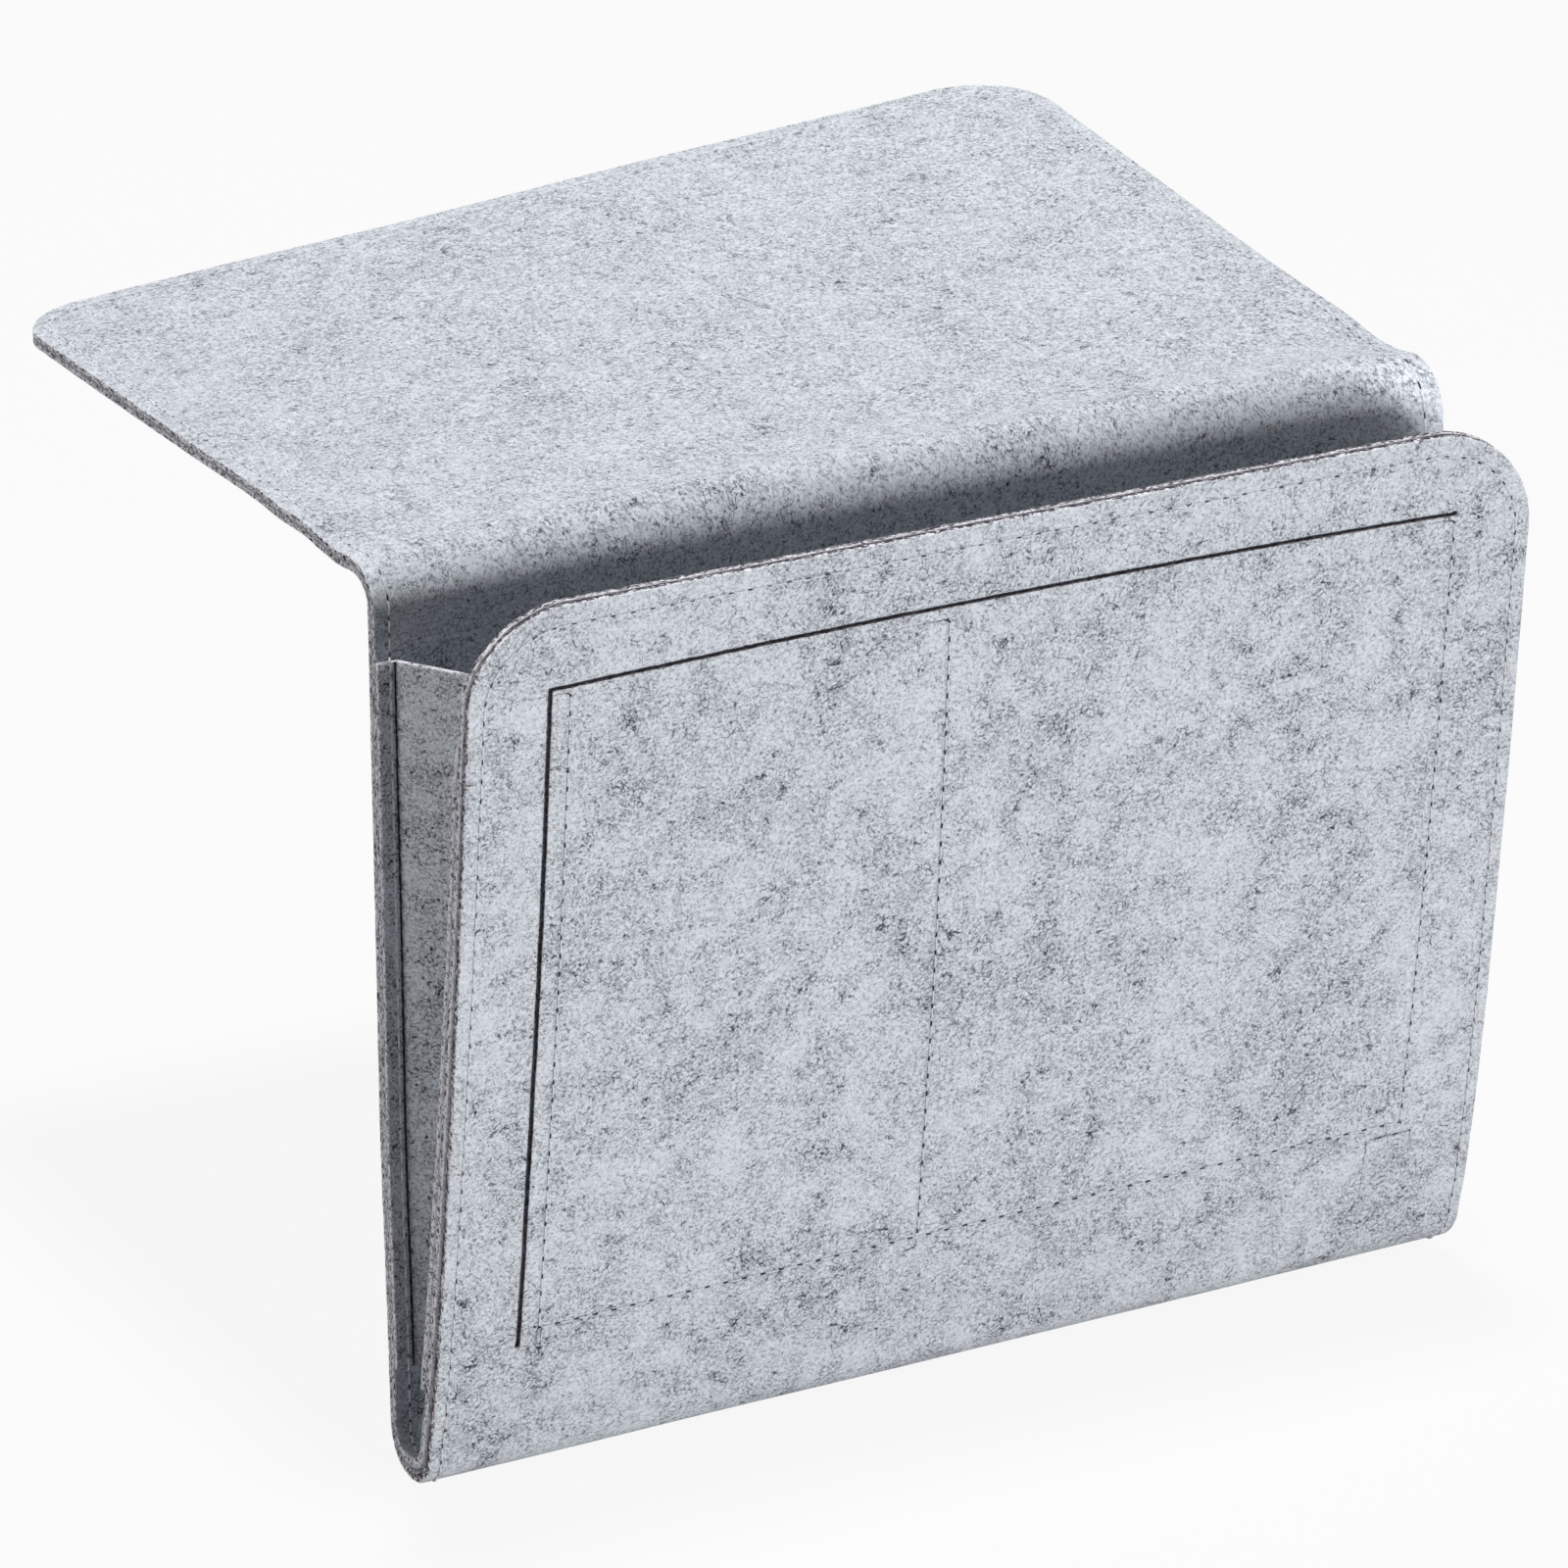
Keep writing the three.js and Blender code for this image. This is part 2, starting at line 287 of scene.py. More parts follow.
# Seams: each is a route on the flat pattern with a whole number of stitches
sewing = {
    "pitch": 5.7 * mm,
    "inset": 6 * mm,  # from the rim and from the flap's back edge
    "sideInset": (4.4 * mm, 3.2 * mm),  # from the sides, and there at the foot of the front
    "flangeShift": 0.8 * mm,  # where a gusset lies under the seam
    "cornerSteps": 12,
    "pull": {"light": 0.4, "firm": 0.75, "tight": 1.0},  # how far the thread draws the felt in, and how much painted shade lies along the seam
    "flapPull": 0.5,  # how much of that is left on the flap
    "thread": 0.27 * mm,  # radius
    "rise": 0.22 * mm,
    "bury": 0.55 * mm,
    "holeInset": 0.05,
    "around": 6,
    "along": 6,
    "sample": 0.15 * mm,
}


def borderRoute():
    # once round the pattern: the flap's right corner, its back edge, up the left side and the rim
    usual, atFoot = sewing["sideInset"]
    sides = [(edge - usual, foldStart), (edge - atFoot, frontStart)]
    points = []
    for quarter, (x, s) in enumerate(((edge, 0), (-edge, 0), (-edge, rim), (edge, rim))):
        corner = cornerRadius(x, s)
        middle = Vector((x - math.copysign(corner, x), corner if s == 0 else rim - corner))
        for k in range(sewing["cornerSteps"] + 1):
            angle = math.radians(90 * (quarter + k / sewing["cornerSteps"]))
            across = math.cos(angle) * (corner - usual)
            along = math.sin(angle) * (corner - sewing["inset"])
            points.append(middle + Vector((across, -along)))
        if quarter == 1:
            points += [Vector((-a, b)) for a, b in sides]
        if quarter == 3:
            points += [Vector(p) for p in reversed(sides)]
    return points + points[:1]


def makeRoute(pull, *points):
    points = [Vector(p) for p in points]
    ends = [0.0]
    for a, b in zip(points, points[1:]):
        ends.append(ends[-1] + (b - a).length)
    count = round(ends[-1] / sewing["pitch"])
    return {"points": points, "ends": ends, "count": count, "pitch": ends[-1] / count,
            "pull": sewing["pull"][pull]}


def alongRoute(route, run):
    # the point and the direction of a route after a run
    last = len(route["points"]) - 2
    k = next((i for i in range(last, 0, -1) if run >= route["ends"][i]), 0)
    a, b = route["points"][k], route["points"][k + 1]
    direction = (b - a).normalized()
    return a + direction * (run - route["ends"][k]), direction


leftTop, leftFoot = (pocket["left"], pocket["top"]), (pocket["left"], pocket["base"])
rightTop, rightFoot = (pocket["right"], pocket["top"]), (pocket["right"], pocket["base"])
dividerTop = (pocket["dividerTop"], pocket["top"])
dividerFoot = (pocket["dividerFoot"], pocket["base"] - pocket["dividerOverrun"])
markLine = pocket["base"] - pocket["markDrop"]
markStart, markEnd = ((pocket["right"] + reach, markLine) for reach in pocket["markReach"])
routes = {
    "border": makeRoute("light", *borderRoute()),
    "left": makeRoute("firm", leftTop, leftFoot),
    "right": makeRoute("firm", rightTop, rightFoot),
    "bottom": makeRoute("tight", leftFoot, rightFoot),
    "divider": makeRoute("tight", dividerTop, dividerFoot),
    "mark": makeRoute("tight", markStart, markEnd),
}


def sampleSeams():
    # samples of every seam, to find the nearest one from any point of the pattern
    samples = []
    for route in routes.values():
        steps = int(route["ends"][-1] / sewing["sample"])
        for i in range(steps + 1):
            run = route["ends"][-1] * i / steps
            samples.append((*alongRoute(route, run), run, route))
    tree = kdtree.KDTree(len(samples))
    for i, sample in enumerate(samples):
        tree.insert(sample[0].to_3d(), i)
    tree.balance()
    return samples, tree


seamSamples, seamTree = sampleSeams()
print("seams:", {name: route["count"] for name, route in routes.items()})


def nearestSeam(point):
    return seamSamples[seamTree.find((point.x, point.y, 0))[1]]


def seamPlaceOf(seam, point):
    # stitches along a seam, the distance from it and how deep its thread pulls into the felt
    start, direction, run, route = seam
    offset = point.xy - start
    run += offset.dot(direction)
    away = direction.cross(offset)
    beyond = max(0.0, -run, run - route["ends"][-1])
    pull = route["pull"] * (sewing["flapPull"] if point.y < valleyStart else 1)
    return Vector((run / route["pitch"], math.hypot(away, beyond) if beyond else away, pull))


def evenly(start, end, step):
    count = max(1, round((end - start) / step))
    return [start + (end - start) * i / count for i in range(count + 1)]


def gridLines(*groups):
    # sorted grid lines from lists of them; a line that crowds one of an earlier list is left out
    lines = []
    for group in groups:
        lines += [g for g in group if all(abs(g - kept) > felt["closest"] for kept in lines)]
    return sorted(lines)


def beside(line, *offsets):
    return [line] + [line + side * offset for offset in offsets for side in (-1, 1)]


# Felt sheets: a flat slab of the pattern with rounded cut edges, folded into place
felt = {
    "edgeRound": 0.4 * mm,
    "edgeSteps": 2,
    "fray": 0.16 * mm,  # how far the cut line wanders
    "frayScale": 420,
    "closest": 0.45 * mm,  # between two grid lines
    "plainStep": 4 * mm,
    "cornerStep": 2 * mm,
    "bendStep": 1.2 * mm,
    "foldStep": 1.3 * mm,
    "backStep": 5 * mm,
    "seamStep": 1.2 * mm,
    "dividerStep": 3 * mm,
    "joinReach": 0.1 * mm,  # around the line where two sheets go on as one
}
corner, cornerStep, seamStep = pattern["corner"], felt["cornerStep"], felt["seamStep"]
sideGrid = evenly(edge - corner, edge, cornerStep) + evenly(-edge, corner - edge, cornerStep)
sideSeam = beside(edge - sewing["sideInset"][0], seamStep)
seamGrid = [side * line for line in sideSeam for side in (-1, 1)]
slitGrid = [slit["left"] - slitHalf, slit["left"] + slitHalf, slit["right"]]
feltColumns = gridLines(
    [-edge, edge], slitGrid, seamGrid,
    beside(pocket["left"], seamStep), beside(pocket["right"], seamStep),
    beside(pocket["dividerTop"], seamStep, felt["dividerStep"]),
    sideGrid, evenly(-edge, edge, felt["plainStep"]))
upperRows = gridLines(
    [0, backMiddle], beside(sewing["inset"], seamStep), evenly(0, corner, cornerStep),
    evenly(valleyStart, crestStart, cornerStep), evenly(crestStart, backStart, felt["bendStep"]),
    evenly(corner, valleyStart, felt["plainStep"]), evenly(backStart, backMiddle, felt["backStep"]))
lowerRows = gridLines(
    [backMiddle, rim], [slit["line"] - slitHalf, slit["line"] + slitHalf],
    [pocket["base"] - slit["overrun"]], beside(pocket["base"], seamStep),
    beside(rim - sewing["inset"], seamStep),
    evenly(rim - corner, rim, cornerStep), evenly(foldStart, frontStart, felt["foldStep"]),
    evenly(frontStart, rim - corner, felt["plainStep"]),
    evenly(backMiddle, foldStart, felt["backStep"]))


def gridSlab(columns, rows, near, far, settle, cut):
    # a flat slab between two depths whose grid lines stand where they are asked to
    bm = bmesh.new()
    across, along = len(columns) - 1, len(rows) - 1
    bmesh.ops.create_grid(bm, x_segments=across, y_segments=along, size=0.5)
    for v in bm.verts:
        column, row = round((v.co.x + 0.5) * across), round((v.co.y + 0.5) * along)
        v.co = (columns[column], rows[row], near)
    if cut:
        removed = [f for f in bm.faces if cut(f.calc_center_median())]
        bmesh.ops.delete(bm, geom=removed, context="FACES")
    for v in bm.verts:
        v.co.x, v.co.y = settle(v.co.x, v.co.y, v.is_boundary)
    raised = bmesh.ops.extrude_face_region(bm, geom=bm.faces[:])["geom"]
    top = [g for g in raised if isinstance(g, bmesh.types.BMVert)]
    bmesh.ops.translate(bm, verts=top, vec=(0, 0, far - near))
    bmesh.ops.recalc_face_normals(bm, faces=bm.faces[:])
    return bm


def finishSheet(name, bm, fold, wallOf, seamOf):
    # rounds the cut edges, keeps the flat places for the felt's pattern and folds the slab; where
    # two sheets go on as one, their edges are kept sharp so that no line shows between them
    bm.normal_update()
    walls = [f for f in bm.faces if abs(f.normal.z) < 0.5 and wallOf(f.calc_center_median())]
    for f in walls:
        f.material_index = wallOf(f.calc_center_median())
    rims = {e for f in walls for e in f.edges if any(abs(g.normal.z) > 0.5 for g in e.link_faces)}
    bmesh.ops.bevel(
        bm, geom=list(rims), offset=felt["edgeRound"], offset_type="OFFSET", affect="EDGES",
        segments=felt["edgeSteps"], profile=0.5, material=-1)
    bm.normal_update()
    flatPlace = bm.verts.layers.float_vector.new("flatPlace")
    seamPlace = bm.loops.layers.float_vector.new("seamPlace")
    for f in bm.faces:
        if abs(f.normal.z) < 0.5 and not wallOf(f.calc_center_median()):
            for e in f.edges:
                e.smooth = False
        place = seamOf(f.calc_center_median())
        for corner in f.loops:
            corner[seamPlace] = place(corner.vert.co)
    for v in bm.verts:
        v[flatPlace] = v.co
        v.co = fold(v.co)
    bmesh.ops.recalc_face_normals(bm, faces=bm.faces[:])
    # the extruded walls come in no fixed order, so the faces are sorted to be the same each run
    for i, f in enumerate(sorted(bm.faces, key=lambda f: tuple(f.calc_center_median()))):
        f.index, f.smooth = i, True
    bm.faces.sort()
    return addPiece(name, bm)


def addPiece(name, bm):
    mesh = bpy.data.meshes.new(name)
    bm.to_mesh(mesh)
    bm.free()
    piece = bpy.data.objects.new(name, mesh)
    scene.collection.objects.link(piece)
    return piece


def fray(x, s):
    return felt["fray"] * noise.noise(Vector((x, s, 0)) * felt["frayScale"])


def settleFelt(x, s, onCut):
    x, s = roundCorner(x, s)
    if onCut and abs(s - backMiddle) > felt["joinReach"]:
        return x + fray(x, s), s + fray(s, x)
    return x, s


def settleFront(x, s, onCut):
    return settleFelt(x, s + slitBow(x, s), onCut)


def feltWall(point):
    # the finish of a cut: 1 at the outer edges, 2 in the slit, and 0 where two sheets go on as one
    if abs(point.y - backMiddle) < felt["joinReach"]:
        return 0
    aside, below, above = slit["wallReach"]
    inside = pocket["base"] - below < point.y < slit["line"] + above
    return 2 if inside and abs(point.x) < slit["right"] + aside else 1


def feltSheet(name, rows, near, far, settle=settleFelt, cut=None):
    bm = gridSlab(feltColumns, rows, near, far, settle, cut)
    return finishSheet(
        name, bm, foldFelt, feltWall, lambda middle: partial(seamPlaceOf, nearestSeam(middle)))


outerUpper = feltSheet("felt_outer_flap_to_back", upperRows, 0, pattern["felt"])
innerUpper = feltSheet("felt_inner_flap_to_back", upperRows, innerNear, innerFace)
outerLower = feltSheet("felt_outer_back_to_rim", lowerRows, 0, pattern["felt"], settleFront, inSlit)
innerLower = feltSheet("felt_inner_back_to_rim", lowerRows, innerNear, innerFace)
feltSheets = [outerUpper, innerUpper, outerLower, innerLower]
print("felt sheets:", [len(piece.data.polygons) for piece in feltSheets])

# Side gussets: a strip with a flange on each panel and a web that folds inwards
gusset = {
    "felt": 1.6 * mm,
    "flange": 5.5 * mm,
    "inset": 18 * mm,
    "foot": frontStart + 19 * mm,
    "top": rim - 33.5 * mm,
    "topTaper": 0.4,  # how much narrower the front flange is at its top
    "taperReach": 11 * mm,
    "flangeRound": 1.4 * mm,
    "apexRound": 6 * mm,
    "roundSteps": 6,
    "creaseReach": 1.6 * mm,
    "creaseStep": 0.5 * mm,
    "creasePullAndShade": 2.4,  # how deep the felt is drawn in along the flanges, and how strong the painted shade along the creases is
    "apexStep": 0.9 * mm,
    "webStep": 2.5 * mm,
    "rowStep": 4 * mm,
    "wave": 0.9 * mm,
    "waveScale": 17,
}
flangeDepth = innerFace + pattern["gap"] + gusset["felt"] / 2


def gussetEnds(g, sign):
    # where the strip turns off the back and off the front, and where it ends on the back
    x = sign * (edge - gusset["flange"])
    height = follow(frontArc, g - frontStart)[1]
    onBack = backStart + backArc["z"] - height
    places = [(x, onBack), (x, g), (sign * edge, onBack)]
    return [foldFelt((*place, flangeDepth)) for place in places]


mouth = gussetEnds(gusset["top"], -1)
webLength = math.hypot((mouth[0].y - mouth[1].y) / 2, gusset["inset"])
stripLength = 2 * (gusset["flange"] + webLength)


def roundedPath(points, radii):
    # a path through corners that are rounded within the given distances
    path = [points[0]]
    for before, here, after, r in zip(points, points[1:], points[2:], radii):
        start = here + (before - here).normalized() * r
        end = here + (after - here).normalized() * r
        for k in range(gusset["roundSteps"] + 1):
            t = k / gusset["roundSteps"]
            path.append(start.lerp(here, t).lerp(here.lerp(end, t), t))
    return path + [points[-1]]


def gussetPath(g, sign):
    onBack, onFront, backEnd = gussetEnds(g, sign)
    half = (onBack.y - onFront.y) / 2
    turn = edge - gusset["flange"]
    depth = math.sqrt(max(webLength ** 2 - half ** 2, 0))
    depth += gusset["wave"] * noise.noise(Vector((0, g * gusset["waveScale"], 3 * sign)))
    corners = [
        Vector((edge, backEnd.y)), Vector((turn, onBack.y)),
        Vector((turn - depth, onFront.y + half)),
        Vector((turn, onFront.y)), Vector((edge, onFront.y))]
    r = gusset["flangeRound"]
    path = roundedPath(corners, [r, gusset["apexRound"], r])
    ends = [0.0]
    for a, b in zip(path, path[1:]):
        ends.append(ends[-1] + (b - a).length)
    return path, ends, (onBack.z, onFront.z)


gussetPaths = {}


def foldGusset(flat, sign):
    t, g, d = flat
    key = round(g, 5), sign
    if key not in gussetPaths:
        gussetPaths[key] = gussetPath(g, sign)
    path, ends, heights = gussetPaths[key]
    share = min(max(t / stripLength, 0), 1)
    run = share * ends[-1]
    k = next((i for i in range(len(path) - 2, 0, -1) if run >= ends[i]), 0)
    part = (run - ends[k]) / (ends[k + 1] - ends[k])

    def heading(i):
        i = min(max(i, 0), len(path) - 2)
        return (path[i + 1] - path[i]).normalized()

    toward = heading(k - 1) + heading(k) if part < 0.5 else heading(k) + heading(k + 1)
    along = heading(k).lerp(toward.normalized(), abs(part - 0.5) * 2).normalized()
    place = path[k].lerp(path[k + 1], part)
    height = heights[0] + (heights[1] - heights[0]) * share
    point = Vector((place.x - along.y * d, place.y + along.x * d, height))
    turn, depth = edge - gusset["flange"], flangeDepth + d
    if share > 0.5 and point.x > turn:
        point.y += spread(point.x, g, depth) - spread(turn, g, depth)
    point.x *= sign
    return point


def gussetStrip(name, sign):
    flangeEnd, webEnd = gusset["flange"], gusset["flange"] + webLength
    frontFlange = stripLength - flangeEnd
    crease, apex = gusset["creaseReach"], gusset["apexRound"]
    columns = gridLines(
        [0, flangeEnd, webEnd, frontFlange, stripLength],
        evenly(flangeEnd - crease, flangeEnd + crease, gusset["creaseStep"]),
        evenly(frontFlange - crease, frontFlange + crease, gusset["creaseStep"]),
        evenly(webEnd - apex, webEnd + apex, gusset["apexStep"]),
        evenly(0, stripLength, gusset["webStep"]))
    rows = evenly(gusset["foot"], gusset["top"], gusset["rowStep"])
    half = gusset["felt"] / 2

    def settle(t, g, onCut):
        lap = max(0.0, t - frontFlange)
        t -= gusset["topTaper"] * lap * ease((g - gusset["top"]) / gusset["taperReach"] + 1)
        return (t, g + fray(t, g)) if onCut else (t, g)

    # the creases between the flanges and the web are marked like a seam: needle holes and a groove
    # in the bump, darkened with painted shade
    def creasePlace(point):
        away = min(point.x - flangeEnd, frontFlange - point.x, key=abs)
        return Vector((point.y / sewing["pitch"], away, gusset["creasePullAndShade"]))

    bm = gridSlab(columns, rows, -half, half, settle, None)
    return finishSheet(
        name, bm, lambda flat: foldGusset(flat, sign), lambda middle: 1, lambda middle: creasePlace)


gussetLeft = gussetStrip("gusset_strip_left", -1)
gussetRight = gussetStrip("gusset_strip_right", 1)
gussets = [gussetLeft, gussetRight]
print("gussets:", [len(piece.data.polygons) for piece in gussets])


# Stitches: a short bowed length of thread between two needle holes, on both faces of the felt
def stitchBlank(bm):
    # one straight stitch along Z, with the rings it needs to bow
    made = bmesh.ops.create_cone(
        bm, cap_ends=True, segments=sewing["around"], radius1=1, radius2=1, depth=1)["verts"]
    long = {e for v in made for e in v.link_edges if abs(e.verts[0].co.z - e.verts[1].co.z) > 0.5}
    bmesh.ops.subdivide_edges(bm, edges=list(long), cuts=sewing["along"] - 1)
    return bm.verts[:] + bm.edges[:] + bm.faces[:]


def onGusset(s):
    foot, height, top = (foldFelt((0, along, 0)).z for along in (gusset["foot"], s, gusset["top"]))
    return s > backStart and foot < height < top


def faceOf(point, inner):
    # the depth that the stitches lie on, and the way that is out of the felt
    if not inner:
        return 0.0, -1
    if abs(point.x) > edge - pattern["corner"] and onGusset(point.y):
        return innerFace + pattern["gap"] + gusset["felt"], 1
    return innerFace, 1


def sewRow(name, route, wanted):
    bm = bmesh.new()
    thread = bm.verts.layers.float_vector.new("threadPlace")
    blank = stitchBlank(bm)
    for i in range(route["count"]):
        middle, _ = alongRoute(route, (i + 0.5) * route["pitch"])
        if not wanted(middle):
            continue
        for inner in (False, True):
            depth, out = faceOf(middle, inner)
            shift = math.copysign(sewing["flangeShift"], middle.x) if depth > innerFace else 0
            copy = bmesh.ops.duplicate(bm, geom=blank)["geom"]
            for v in (g for g in copy if isinstance(g, bmesh.types.BMVert)):
                t = v.co.z + 0.5
                inset = sewing["holeInset"]
                point, run = alongRoute(route, (i + inset + t * (1 - 2 * inset)) * route["pitch"])
                bow = math.sin(math.pi * t) ** 0.5
                height = bow * (sewing["rise"] + sewing["bury"]) - sewing["bury"]
                height += v.co.y * sewing["thread"]
                across = v.co.x * sewing["thread"]
                v[thread] = (math.atan2(v.co.y, v.co.x), t * route["pitch"] / sewing["thread"], i)
                x, s = point.x - run.y * across + shift, point.y + run.x * across
                v.co = foldFelt((x, s, depth + out * height))
    unused = [g for g in blank if isinstance(g, bmesh.types.BMVert)]
    bmesh.ops.delete(bm, geom=unused, context="VERTS")
    bmesh.ops.recalc_face_normals(bm, faces=bm.faces[:])
    for f in bm.faces:
        f.smooth = True
    return addPiece(name, bm)


def between(low, high, side=0):
    return lambda p: low <= p.y < high and p.x * side >= 0


stitchRows = {
    "flap_stitches": ("border", between(0, valleyStart), "flap_seam"),
    "bend_stitches_left": ("border", between(valleyStart, backStart, -1), "bend_seam_left"),
    "bend_stitches_right": ("border", between(valleyStart, backStart, 1), "bend_seam_right"),
    "back_stitches_left": ("border", between(backStart, foldStart, -1), "back_seam_left"),
    "back_stitches_right": ("border", between(backStart, foldStart, 1), "back_seam_right"),
    "fold_stitches_left": ("border", between(foldStart, frontStart, -1), "fold_seam_left"),
    "fold_stitches_right": ("border", between(foldStart, frontStart, 1), "fold_seam_right"),
    "front_stitches": ("border", between(frontStart, rim), "front_seam"),
    "pocket_stitches_left": ("left", between(0, rim), "pocket_seam_left"),
    "pocket_stitches_right": ("right", between(0, rim), "pocket_seam_right"),
    "pocket_stitches_bottom": ("bottom", between(0, rim), "pocket_seam_bottom"),
    "pocket_divider_stitches": ("divider", between(0, rim), "pocket_divider_seam"),
}
stitches = {}
for name, (route, wanted, node) in stitchRows.items():
    stitches[name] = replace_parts(sewRow(name, routes[route], wanted), node)
print("stitch rows:", {name: len(row.data.polygons) for name, row in stitches.items()})


# Finishes: node materials whose maths is written as Python expressions
class Wire:
    # an output of a node, with the operators that the finishes use
    def __init__(self, finish, socket):
        self.finish, self.socket = finish, socket

    def maths(self, operation, *values):
        return self.finish.node("ShaderNodeMath", {"operation": operation}, dict(enumerate(values)))

    def __add__(self, other):
        return self.maths("ADD", self, other)

    def __sub__(self, other):
        return self.maths("SUBTRACT", self, other)

    def __rsub__(self, other):
        return self.maths("SUBTRACT", other, self)

    def __mul__(self, other):
        return self.maths("MULTIPLY", self, other)

    def __truediv__(self, other):
        return self.maths("DIVIDE", self, other)

    def __pow__(self, other):
        return self.maths("POWER", self, other)

    def __abs__(self):
        return self.maths("ABSOLUTE", self)

    __radd__ = __add__
    __rmul__ = __mul__

    def fraction(self):
        return self.maths("FRACT", self)

    def sine(self):
        return self.maths("SINE", self)

    def smooth(self, low, high):
        # 0 below low, 1 above high and smooth between them
        return self.finish.node(
            "ShaderNodeMapRange", {"interpolation_type": "SMOOTHSTEP"},
            {"Value": self, "From Min": low, "From Max": high})

    def clamped(self):
        return self.finish.node("ShaderNodeClamp", {}, {"Value": self})


class Finish:
    # the nodes of a new material or world
    def __init__(self, owner):
        owner.use_nodes = True
        self.owner, self.tree = owner, owner.node_tree
        self.tree.nodes.clear()

    def node(self, kind, settings, sockets, output=0):
        made = self.tree.nodes.new(kind)
        for name, value in settings.items():
            setattr(made, name, value)
        for name, value in sockets.items():
            if isinstance(value, Wire):
                self.tree.links.new(value.socket, made.inputs[name])
            else:
                made.inputs[name].default_value = value
        return Wire(self, made.outputs[output]) if len(made.outputs) else made

    def attribute(self, name):
        return self.node("ShaderNodeAttribute", {"attribute_name": name}, {}, "Vector")

    def axis(self, place, axis):
        return self.node("ShaderNodeSeparateXYZ", {}, {"Vector": place}, axis)

    def stretched(self, place, amounts):
        return self.node("ShaderNodeVectorMath", {"operation": "MULTIPLY"}, {0: place, 1: amounts})

    def shifted(self, place, amounts):
        return self.node("ShaderNodeVectorMath", {"operation": "ADD"}, {0: place, 1: amounts})

    def noise(self, place, scale, detail=2.0, roughness=0.5, distortion=0.0):
        return self.node(
            "ShaderNodeTexNoise", {"noise_dimensions": "3D"},
            {"Vector": place, "Scale": scale, "Detail": detail, "Roughness": roughness,
             "Distortion": distortion}, "Fac")

    def mixed(self, factor, one, other):
        return self.node(
            "ShaderNodeMix", {"data_type": "RGBA"}, {"Factor": factor, 6: one, 7: other}, 2)

    def bump(self, height, distance, strength):
        sockets = {"Height": height, "Distance": distance, "Strength": strength}
        return self.node("ShaderNodeBump", {}, sockets)

    def surface(self, **sockets):
        named = {name.replace("_", " "): value for name, value in sockets.items()}
        shader = self.node("ShaderNodeBsdfPrincipled", {}, named)
        self.node("ShaderNodeOutputMaterial", {}, {"Surface": shader})
        return self.owner


def colour(red, green, blue):
    # an sRGB colour, 0 to 255, as the linear colour that sockets take
    def linear(c):
        c /= 255
        return c / 12.92 if c <= 0.04045 else ((c + 0.055) / 1.055) ** 2.4
    return linear(red), linear(green), linear(blue), 1.0


# Melange felt: clouds of dark fibres, specks and curling strands on a pale ground; each noise has
# a scale, a detail, a roughness and a distortion
melange = {
    "pale": colour(236, 241, 249),
    "fibre": colour(63, 68, 82),
    "gussetPale": colour(237, 240, 248),
    "gussetFibre": colour(24, 26, 33),
    "clouds": (0.5, 1.2),  # how unevenly the fibres lie on the flap and on the front
    "patch": (24, 2.0, 0.55),
    "cluster": (95, 3.0, 0.62, 0.5),
    "curl": (620, 2.0, 0.55, 1.6),
    "grain": (1150, 2.0, 0.6, 0.8),
    "fuzz": (640, 2.0, 0.6, 0.3),
    "fuzzRange": (0.34, 0.66),
    "strandScales": (230, 310, 420, 560),
    "strand": (1.0, 0.5, 0.6),
    "strandShift": Vector((0.37, 0.71, 0)),
    "strandWidth": 0.024,
    "strandBreaks": (0.6, 0.46, 0.62),  # scale as a share of the strand's own, and the range
    "density": {"cluster": 1.9, "patch": 1.2, "base": 0.45},
    "speckle": {"grain": 2.7, "curl": 0.9, "cluster": 0.75, "patch": 0.5, "base": 0.16},
    "speckleShare": 0.86,
    "fuzzShare": 0.15,  # how much the ground between the fibres varies
    "strandShare": (0.26, 0.55),  # everywhere, and more where the fibres are dense
    "marginCalm": 0.12,  # how much less fibre shows outside the border seam
    "sheen": 0.12,
}


def fibreStrands(finish, place, scale, shift):
    # thin curling lines, broken up where the fibres lie deeper
    moved = finish.shifted(place, shift)
    away = abs(finish.noise(moved, scale, *melange["strand"]) - 0.5)
    line = 1 - away.smooth(0.0, melange["strandWidth"])
    coarser, low, high = melange["strandBreaks"]
    return line * finish.noise(moved, scale * coarser, 1.0).smooth(low, high)


def feltFibres(finish, place):
    # how much dark fibre shows at a place, 0 to 1, and the felt's grain
    onFlap, onFront = melange["clouds"]
    along = finish.axis(place, "Y").smooth(backStart, backMiddle)
    uneven = onFlap + (onFront - onFlap) * along
    patch = (finish.noise(place, *melange["patch"]) - 0.5) * uneven
    cluster = (finish.noise(place, *melange["cluster"]) - 0.5) * uneven
    curl = finish.noise(place, *melange["curl"]) - 0.5
    grain = finish.noise(place, *melange["grain"]) - 0.5
    fuzz = finish.noise(place, *melange["fuzz"]).smooth(*melange["fuzzRange"])
    strands = [fibreStrands(finish, place, scale, melange["strandShift"] * i)
               for i, scale in enumerate(melange["strandScales"])]
    weight = melange["density"]
    density = (cluster * weight["cluster"] + patch * weight["patch"] + weight["base"]).clamped()
    weight = melange["speckle"]
    speckle = grain * weight["grain"] + curl * weight["curl"] + cluster * weight["cluster"]
    speckle = (speckle + patch * weight["patch"] + weight["base"]).clamped()
    ground = speckle * melange["speckleShare"] + fuzz * melange["fuzzShare"]
    everywhere, dense = melange["strandShare"]
    lines = sum(strands[1:], strands[0]).clamped() * (everywhere + dense * density)
    return (ground + lines).clamped(), grain
